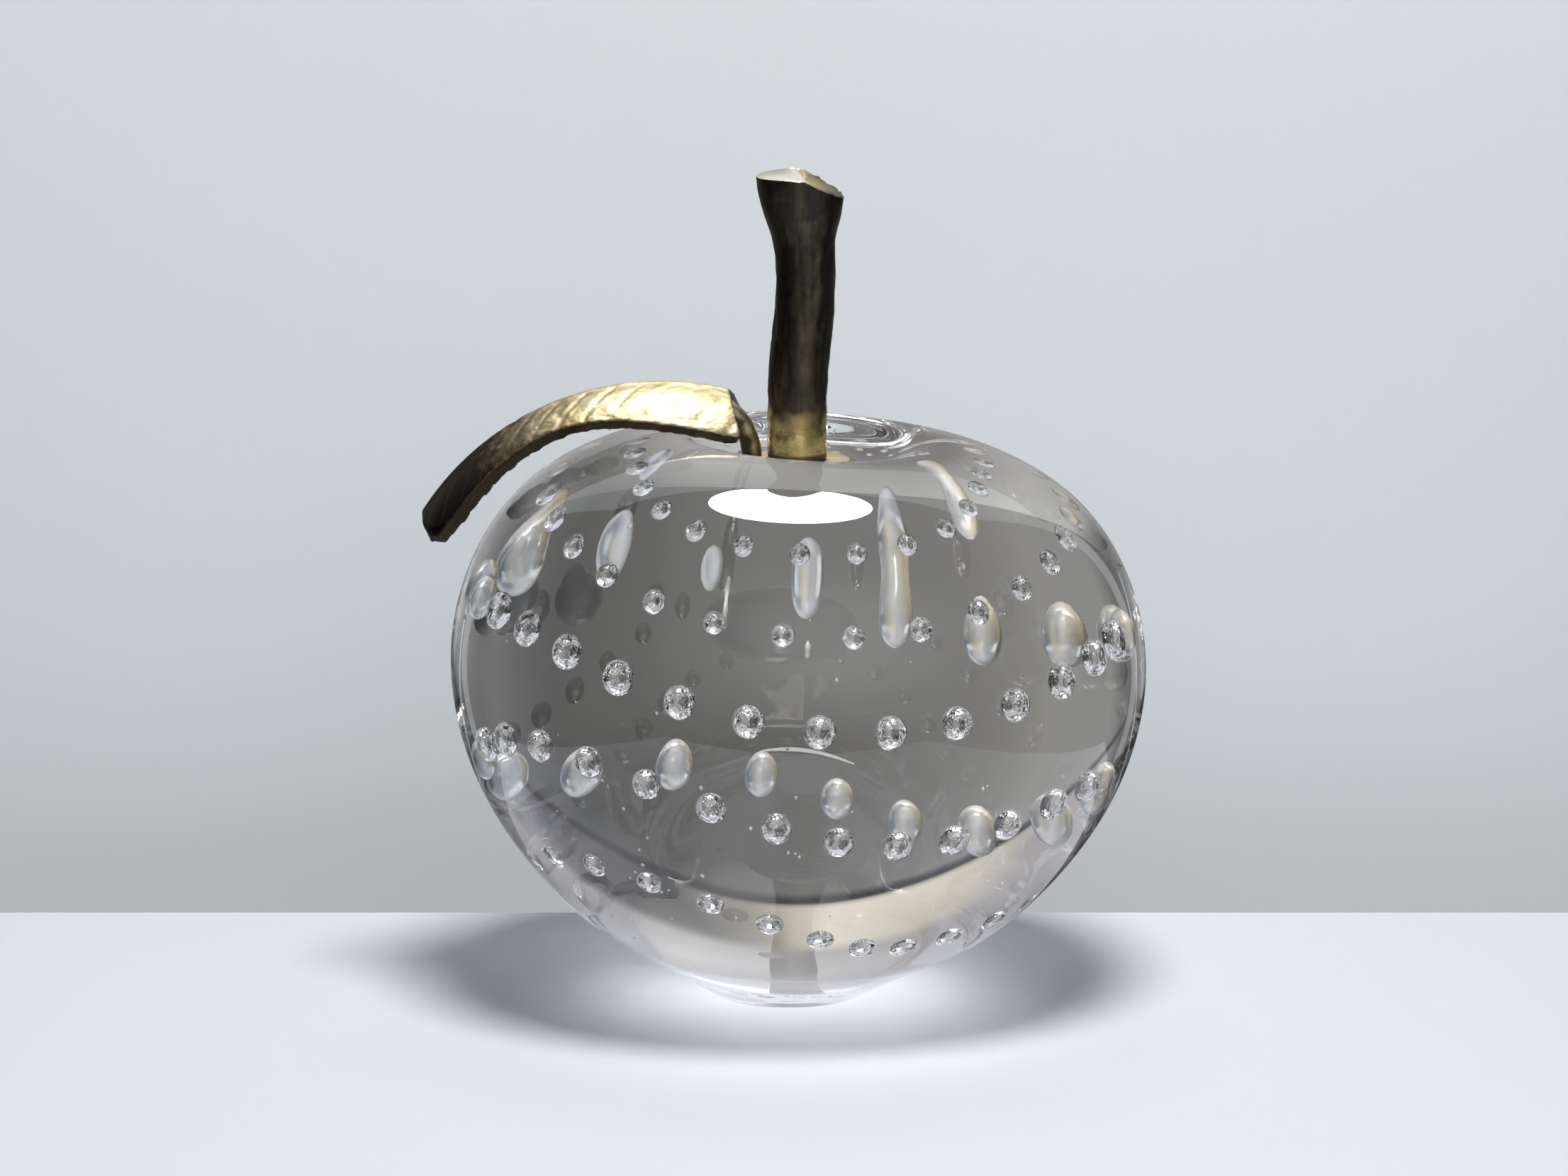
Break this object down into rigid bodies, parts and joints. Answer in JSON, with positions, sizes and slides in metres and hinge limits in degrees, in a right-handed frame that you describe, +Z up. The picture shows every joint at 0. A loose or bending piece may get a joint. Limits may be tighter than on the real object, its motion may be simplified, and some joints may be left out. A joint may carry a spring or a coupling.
{
  "type": "art glass apple",
  "caption": "Solid clear glass apple with rings of trapped air bubbles, a ground flat foot, and a cast brass stem and leaf held on a threaded stud.",
  "frame": {"origin": "centre of the ground foot, on the surface the apple stands on", "axes": "+Z up through the stem, the leaf points along -X, the side seen in the picture faces -Y"},
  "size_m": [0.0834, 0.0802, 0.0956],
  "materials": {
    "glass": "fire polished clear glass with trapped air bubbles",
    "cement": "cured clear epoxy, slightly grey",
    "steel": "plain threaded rod",
    "stem_brass": "dark patina on cast brass, polished cut face",
    "leaf_brass": "bright cast brass, dark edge"
  },
  "bodies": {
    "apple": {"glass_body": "glass", "socket_cement": "cement", "stud": "steel", "stem": "stem_brass"},
    "leaf": {"leaf": "leaf_brass"}
  },
  "joints": [
    {"name": "leaf_swivel", "type": "hinge", "parent": "apple", "child": "leaf", "pos_m": [0.0018, 0, 0.0622], "axis": [0, 0, 1], "continuous": true}
  ]
}
